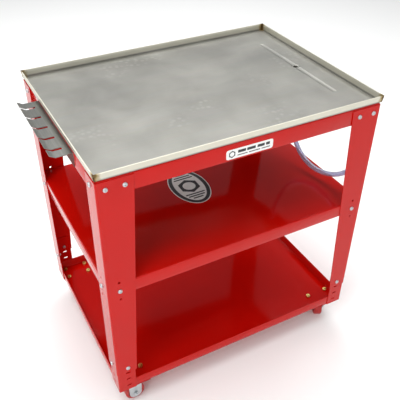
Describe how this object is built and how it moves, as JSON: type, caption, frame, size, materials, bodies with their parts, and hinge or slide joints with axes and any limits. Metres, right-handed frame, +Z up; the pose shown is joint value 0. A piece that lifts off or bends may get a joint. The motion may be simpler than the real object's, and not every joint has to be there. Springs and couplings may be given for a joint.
{
  "type": "workshop drain cart",
  "caption": "Workshop cart with a stainless drain tray, drain hose, tool rack, two red sheet-steel shelves and rolling casters.",
  "frame": {"origin": "on the floor, under the middle of the cart's bounding box", "axes": "+X to the cart's right, where the drain and the swivel casters are; +Y to the rear; +Z up"},
  "size_m": [0.9066, 0.624, 0.898],
  "materials": {
    "red_powder_coat": "gloss powder coat on sheet steel",
    "brushed_stainless": "brushed stainless sheet",
    "zinc_plated_steel": "bright zinc plate",
    "yellow_zinc_steel": "yellow zinc plate",
    "red_polyurethane": "satin moulded polyurethane",
    "clear_vinyl": "clear flexible vinyl",
    "brass_fitting": "machined brass",
    "black_nylon": "moulded nylon",
    "white_label": "printed vinyl film"
  },
  "bodies": {
    "cart": {"leg_front_left": "red_powder_coat", "leg_front_right": "red_powder_coat", "leg_rear_left": "red_powder_coat", "leg_rear_right": "red_powder_coat", "foot_front_left": "red_powder_coat", "foot_front_right": "red_powder_coat", "foot_rear_left": "red_powder_coat", "foot_rear_right": "red_powder_coat", "apron_front": "red_powder_coat", "apron_rear": "red_powder_coat", "apron_left": "red_powder_coat", "apron_right": "red_powder_coat", "mid_shelf": "red_powder_coat", "bottom_shelf": "red_powder_coat", "drain_tray": "brushed_stainless", "finger_rack": "brushed_stainless", "drain_spud": "brushed_stainless", "hose_barb": "brass_fitting", "hose_clamp": "zinc_plated_steel", "drain_hose": "clear_vinyl", "hose_clip": "black_nylon", "caster_frame_front_left": "zinc_plated_steel", "caster_frame_rear_left": "zinc_plated_steel", "swivel_plate_front_right": "zinc_plated_steel", "swivel_plate_rear_right": "zinc_plated_steel", "kingpin_front_right": "zinc_plated_steel", "kingpin_rear_right": "zinc_plated_steel", "bearing_balls_front_right": "zinc_plated_steel", "bearing_balls_rear_right": "zinc_plated_steel", "axle_front_left": "zinc_plated_steel", "axle_rear_left": "zinc_plated_steel", "apron_bolts": "zinc_plated_steel", "apron_nuts": "zinc_plated_steel", "shelf_bolts": "zinc_plated_steel", "shelf_nuts": "zinc_plated_steel", "foot_bolts": "zinc_plated_steel", "foot_nuts": "zinc_plated_steel", "caster_bolts": "yellow_zinc_steel", "caster_nuts": "yellow_zinc_steel", "rack_screws": "zinc_plated_steel", "clip_screw": "zinc_plated_steel", "data_plate": "white_label"},
    "roller_front_left": {"wheel_front_left": "red_polyurethane", "bushing_front_left": "zinc_plated_steel"},
    "roller_rear_left": {"wheel_rear_left": "red_polyurethane", "bushing_rear_left": "zinc_plated_steel"},
    "swivel_front_right": {"swivel_fork_front_right": "zinc_plated_steel", "axle_front_right": "zinc_plated_steel"},
    "roller_front_right": {"wheel_front_right": "red_polyurethane", "bushing_front_right": "zinc_plated_steel"},
    "swivel_rear_right": {"swivel_fork_rear_right": "zinc_plated_steel", "axle_rear_right": "zinc_plated_steel"},
    "roller_rear_right": {"wheel_rear_right": "red_polyurethane", "bushing_rear_right": "zinc_plated_steel"}
  },
  "joints": [
    {"name": "front_left_wheel_roll", "type": "hinge", "parent": "cart", "child": "roller_front_left", "pos_m": [-0.3362, -0.2675, 0.0315], "axis": [0, 1, 0], "continuous": true},
    {"name": "rear_left_wheel_roll", "type": "hinge", "parent": "cart", "child": "roller_rear_left", "pos_m": [-0.3362, 0.2675, 0.0315], "axis": [0, 1, 0], "continuous": true},
    {"name": "front_right_caster_swivel", "type": "hinge", "parent": "cart", "child": "swivel_front_right", "pos_m": [0.3888, -0.2675, 0.093], "axis": [0, 0, 1], "continuous": true},
    {"name": "front_right_wheel_roll", "type": "hinge", "parent": "swivel_front_right", "child": "roller_front_right", "pos_m": [0.3998, -0.24845, 0.0315], "axis": [-0.866, 0.5, 0], "continuous": true},
    {"name": "rear_right_caster_swivel", "type": "hinge", "parent": "cart", "child": "swivel_rear_right", "pos_m": [0.3888, 0.2675, 0.093], "axis": [0, 0, 1], "continuous": true},
    {"name": "rear_right_wheel_roll", "type": "hinge", "parent": "swivel_rear_right", "child": "roller_rear_right", "pos_m": [0.36813, 0.25998, 0.0315], "axis": [0.342, -0.9397, 0], "continuous": true}
  ]
}
